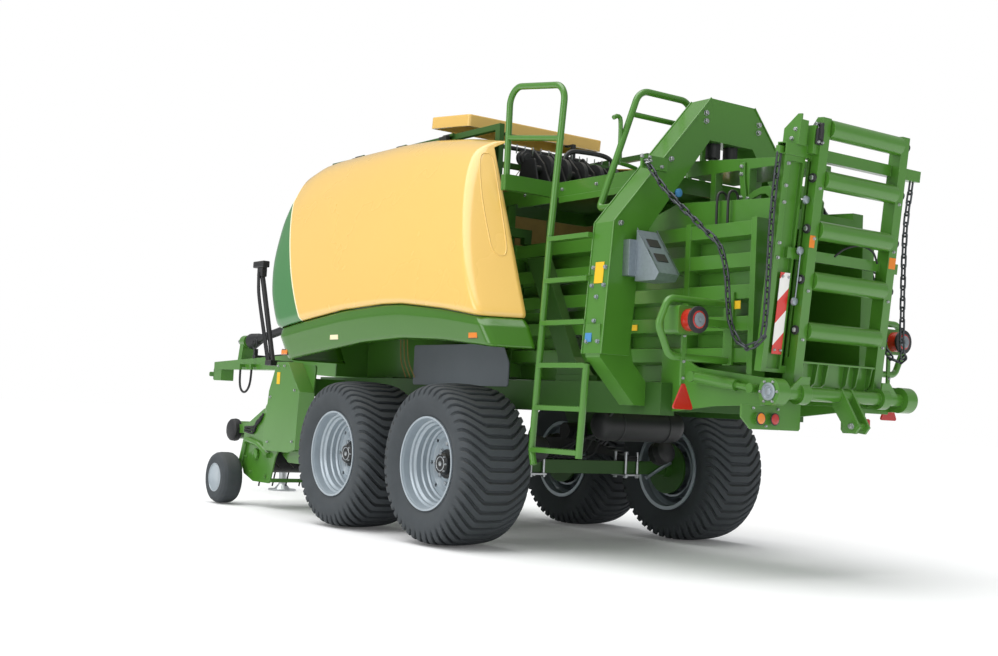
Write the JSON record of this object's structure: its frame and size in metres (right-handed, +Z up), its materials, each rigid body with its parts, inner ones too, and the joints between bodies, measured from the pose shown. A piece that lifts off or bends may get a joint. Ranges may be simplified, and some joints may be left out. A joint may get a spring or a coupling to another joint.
{
  "type": "large square baler",
  "caption": "Towed large square baler on tandem wheels, with side hoods, knotter cover, bale channel, press arch and a folded roller chute.",
  "frame": {"origin": "centre of the overall box, on the floor", "axes": "+X forward to the drawbar, +Y to the machine's left, +Z up"},
  "size_m": [8.5632, 2.613, 3.0273],
  "materials": {
    "body_green": "gloss paint",
    "dark_green": "gloss paint in the shade of the frame",
    "hood_yellow": "gloss moulded panel",
    "skirt_green": "gloss moulded panel",
    "tyre": "matt",
    "rim_silver": "satin silver paint",
    "black_steel": "satin black",
    "cast": "painted casting",
    "bare_steel": "bright worn steel",
    "galvanised": "galvanised",
    "panel_grey": "satin grey",
    "lamp_red": "lens",
    "hose": "matt rubber",
    "guard_black": "matt black"
  },
  "bodies": {
    "chassis": {"axles": "dark_green", "bale_chamber": "body_green", "chain_left": "bare_steel", "chain_right": "bare_steel", "chamber_top": "body_green", "chute_arms": "body_green", "cover_stand": "black_steel", "deck_rails": "body_green", "drawbar": "body_green", "feeder_housing": "body_green", "front_cowl": "body_green", "gearbox": "cast", "hinge_rails": "dark_green", "hitch_eye": "cast", "hose_holder": "guard_black", "hose_loop": "hose", "jack_housing": "panel_grey", "knotters": "black_steel", "ladder": "body_green", "lamp_brackets": "body_green", "leaf_springs": "black_steel", "light_bar": "body_green", "main_frame": "dark_green", "portal_arch": "body_green", "press_cylinders": "black_steel", "rear_lamps": "lamp_red", "side_panels": "panel_grey", "top_deck": "body_green", "wheel_chocks": "galvanised"},
    "chute": {"chute_frame": "body_green"},
    "pickup": {"pickup_frame": "body_green"},
    "reel": {"pickup_reel": "black_steel"},
    "gauge_left": {"gauge_wheel_left": "tyre"},
    "gauge_right": {"gauge_wheel_right": "tyre"},
    "rotor": {"feed_rotor": "black_steel"},
    "hood_left_body": {"hood_left": "hood_yellow", "skirt_left": "skirt_green"},
    "hood_right_body": {"hood_right": "hood_yellow", "skirt_right": "skirt_green"},
    "cover": {"knotter_cover": "hood_yellow"},
    "jack": {"jack_foot": "bare_steel"},
    "flywheel_body": {"flywheel": "black_steel"},
    "shaft_body": {"drive_shaft": "guard_black"},
    "input_body": {"input_shaft": "bare_steel"},
    "wheel_front_left": {"tyre_front_left": "tyre", "rim_front_left": "rim_silver"},
    "wheel_front_right": {"tyre_front_right": "tyre", "rim_front_right": "rim_silver"},
    "wheel_rear_left": {"tyre_rear_left": "tyre", "rim_rear_left": "rim_silver"},
    "wheel_rear_right": {"tyre_rear_right": "tyre", "rim_rear_right": "rim_silver"},
    "roller_1": {"chute_roller_1": "body_green"},
    "roller_2": {"chute_roller_2": "body_green"},
    "roller_3": {"chute_roller_3": "body_green"},
    "roller_4": {"chute_roller_4": "body_green"},
    "roller_5": {"chute_roller_5": "body_green"}
  },
  "joints": [
    {"name": "spin_front_left", "type": "hinge", "parent": "chassis", "child": "wheel_front_left", "pos_m": [-0.65741, 1.0415, 0.52], "axis": [0, 1, 0], "continuous": true},
    {"name": "spin_front_right", "type": "hinge", "parent": "chassis", "child": "wheel_front_right", "pos_m": [-0.65741, -1.0415, 0.52], "axis": [0, 1, 0], "continuous": true},
    {"name": "spin_rear_left", "type": "hinge", "parent": "chassis", "child": "wheel_rear_left", "pos_m": [-1.87141, 1.0415, 0.52], "axis": [0, 1, 0], "continuous": true},
    {"name": "spin_rear_right", "type": "hinge", "parent": "chassis", "child": "wheel_rear_right", "pos_m": [-1.87141, -1.0415, 0.52], "axis": [0, 1, 0], "continuous": true},
    {"name": "chute_fold", "type": "hinge", "parent": "chassis", "child": "chute", "pos_m": [-4.12241, 0, 1.046], "axis": [0, -1, 0], "range_deg": [0, 88], "deforming": ["chain_left", "chain_right"]},
    {"name": "roller_1_spin", "type": "hinge", "parent": "chute", "child": "roller_1", "pos_m": [-4.10382, 0, 1.3919], "axis": [0, 1, 0], "continuous": true},
    {"name": "roller_2_spin", "type": "hinge", "parent": "chute", "child": "roller_2", "pos_m": [-4.13306, 0, 1.66735], "axis": [0, 1, 0], "continuous": true},
    {"name": "roller_3_spin", "type": "hinge", "parent": "chute", "child": "roller_3", "pos_m": [-4.16231, 0, 1.9428], "axis": [0, 1, 0], "continuous": true},
    {"name": "roller_4_spin", "type": "hinge", "parent": "chute", "child": "roller_4", "pos_m": [-4.19155, 0, 2.21825], "axis": [0, 1, 0], "continuous": true},
    {"name": "roller_5_spin", "type": "hinge", "parent": "chute", "child": "roller_5", "pos_m": [-4.22079, 0, 2.4937], "axis": [0, 1, 0], "continuous": true},
    {"name": "pickup_lift", "type": "hinge", "parent": "chassis", "child": "pickup", "pos_m": [0.52559, 0, 0.83], "axis": [0, -1, 0], "range_deg": [0, 16]},
    {"name": "reel_spin", "type": "hinge", "parent": "pickup", "child": "reel", "pos_m": [1.06559, 0, 0.43], "axis": [0, 1, 0], "continuous": true},
    {"name": "gauge_left_spin", "type": "hinge", "parent": "pickup", "child": "gauge_left", "pos_m": [1.38559, 1.145, 0.216], "axis": [0, 1, 0], "continuous": true},
    {"name": "gauge_right_spin", "type": "hinge", "parent": "pickup", "child": "gauge_right", "pos_m": [1.38559, -1.145, 0.216], "axis": [0, 1, 0], "continuous": true},
    {"name": "rotor_spin", "type": "hinge", "parent": "chassis", "child": "rotor", "pos_m": [0.58559, 0, 0.64], "axis": [0, 1, 0], "continuous": true},
    {"name": "hood_left_open", "type": "hinge", "parent": "chassis", "child": "hood_left_body", "pos_m": [-0.68941, 0.71, 2.822], "axis": [1, 0, 0], "range_deg": [0, 60]},
    {"name": "hood_right_open", "type": "hinge", "parent": "chassis", "child": "hood_right_body", "pos_m": [-0.68941, -0.71, 2.822], "axis": [-1, 0, 0], "range_deg": [0, 60]},
    {"name": "cover_open", "type": "hinge", "parent": "chassis", "child": "cover", "pos_m": [-0.69041, 0, 2.936], "axis": [0, 1, 0], "range_deg": [0, 55]},
    {"name": "jack_slide", "type": "slide", "parent": "chassis", "child": "jack", "axis": [0, 0, 1], "range_m": [0, 0.42]},
    {"name": "flywheel_spin", "type": "hinge", "parent": "chassis", "child": "flywheel_body", "pos_m": [1.06559, 0, 1.79], "axis": [1, 0, 0], "continuous": true},
    {"name": "drive_shaft_spin", "type": "hinge", "parent": "chassis", "child": "shaft_body", "pos_m": [1.19559, 0, 1.79], "axis": [0.9884, 0, -0.1519], "continuous": true},
    {"name": "input_shaft_spin", "type": "hinge", "parent": "chassis", "child": "input_body", "pos_m": [3.53559, 0, 1.455], "axis": [1, 0, 0], "continuous": true}
  ],
  "couplings": [
    {"joint": "drive_shaft_spin", "follows": "flywheel_spin", "ratio": 1},
    {"joint": "input_shaft_spin", "follows": "flywheel_spin", "ratio": 1}
  ]
}
